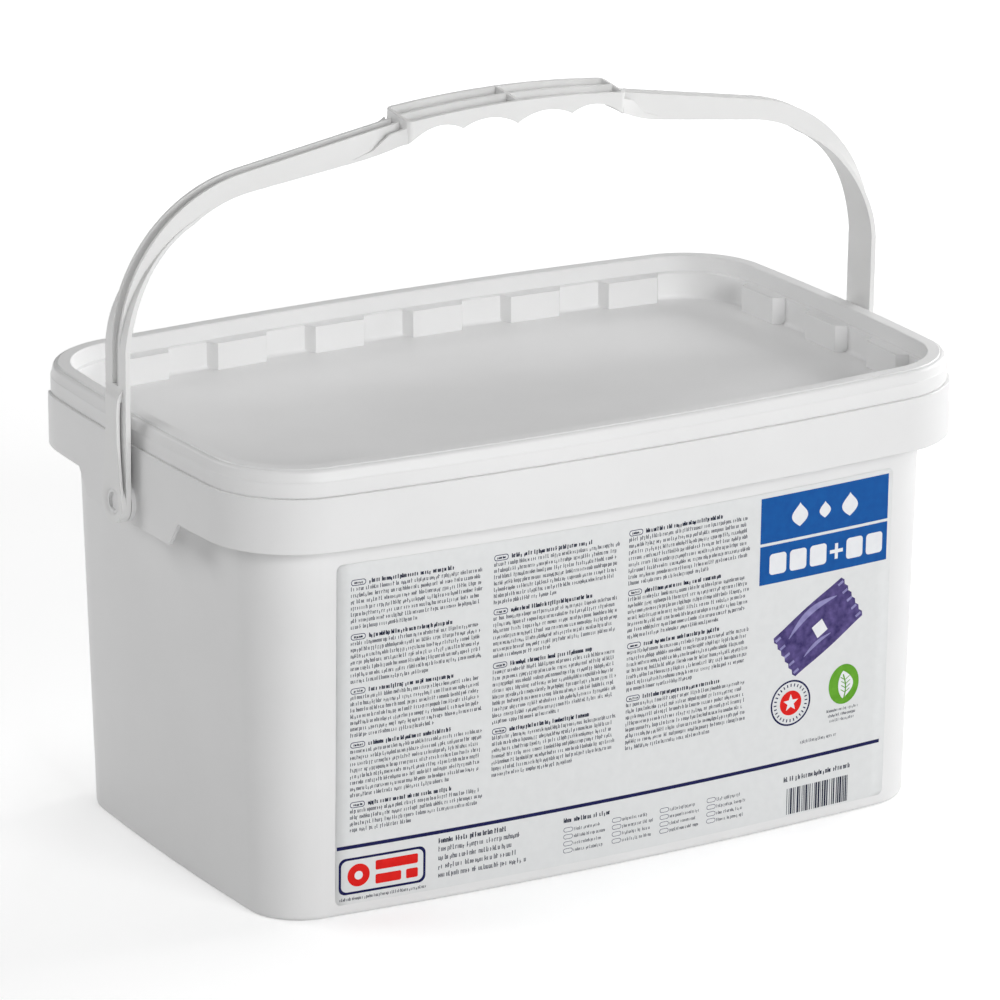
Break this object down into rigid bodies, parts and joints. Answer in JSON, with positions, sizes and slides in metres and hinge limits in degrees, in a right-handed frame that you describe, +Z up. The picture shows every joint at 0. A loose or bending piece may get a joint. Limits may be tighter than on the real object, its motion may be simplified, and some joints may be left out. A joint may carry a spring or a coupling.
{
  "type": "tub with snap lid and bail handle",
  "caption": "Rectangular injection-moulded tub with a recessed lid that snaps over its rim, a swinging bail handle with a finger grip, a printed label and individually wrapped cleaning tablets inside",
  "frame": {"origin": "middle of the tub's base, on the surface it stands on", "axes": "+Z up, +X along the tub's long side and along the bail's pivot axis, -Y out of the front wall with the label"},
  "size_m": [0.4112, 0.2568, 0.3526],
  "materials": {
    "tub_plastic": "white moulded polypropylene, satin gloss",
    "lid_plastic": "white moulded polypropylene, satin gloss",
    "bail_plastic": "white moulded polypropylene, satin gloss",
    "wrapper_film": "printed sachet film, crimped at both ends",
    "tablet": "pressed powder, slightly grainy",
    "label_film": "white printed label film",
    "print_blue": "printed mid blue",
    "print_navy": "printed navy",
    "print_violet": "printed violet",
    "print_green": "printed green",
    "print_black": "printed black"
  },
  "bodies": {
    "tub_body": {"tub": "tub_plastic", "wrapper_layer_1": "wrapper_film", "wrapper_layer_2": "wrapper_film", "wrapper_layer_3": "wrapper_film", "wrapper_layer_4": "wrapper_film", "wrapper_layer_5": "wrapper_film", "wrapper_layer_6": "wrapper_film", "tablet_layer_1": "tablet", "tablet_layer_2": "tablet", "tablet_layer_3": "tablet", "tablet_layer_4": "tablet", "tablet_layer_5": "tablet", "tablet_layer_6": "tablet", "label_film": "label_film", "label_number_field": "print_blue", "label_rule": "print_navy", "label_picture": "print_violet", "label_seal": "print_navy", "label_oval": "print_green", "label_barcode": "print_black", "label_emblem": "print_navy"},
    "lid_body": {"lid": "lid_plastic"},
    "bail_body": {"bail": "bail_plastic"}
  },
  "joints": [
    {"name": "bail_swing", "type": "hinge", "parent": "tub_body", "child": "bail_body", "pos_m": [0, 0, 0.182], "axis": [1, 0, 0], "range_deg": [-120, 118]},
    {"name": "lid_lift", "type": "slide", "parent": "tub_body", "child": "lid_body", "axis": [0, 0, 1], "range_m": [0, 0.045]}
  ]
}
